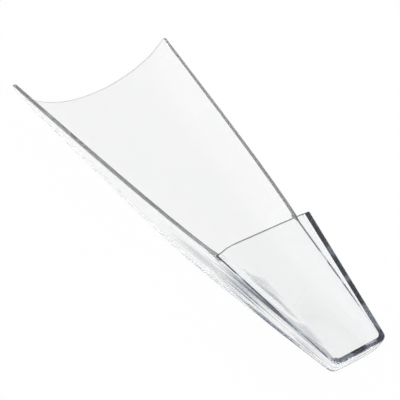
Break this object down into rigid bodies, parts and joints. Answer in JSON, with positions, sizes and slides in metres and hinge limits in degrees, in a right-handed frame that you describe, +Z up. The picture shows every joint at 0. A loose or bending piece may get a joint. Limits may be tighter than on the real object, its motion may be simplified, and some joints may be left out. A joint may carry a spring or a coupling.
{
  "type": "ice scoop",
  "caption": "Clear plastic hand scoop for ice: an open tapered trough with a curved floor and a flat-topped hollow handle that is open towards the trough.",
  "frame": {"origin": "middle of the flat land under the trough, on which the scoop stands", "axes": "+X along the scoop towards the mouth, +Y across it, +Z up from the surface it stands on"},
  "size_m": [0.2515, 0.1064, 0.0412],
  "materials": {
    "clear_body": "clear colourless plastic, polished inside and out",
    "clear_cover": "clear colourless plastic, polished inside and out"
  },
  "bodies": {
    "root": {"scoop_body": "clear_body", "handle_cover": "clear_cover"}
  },
  "joints": []
}
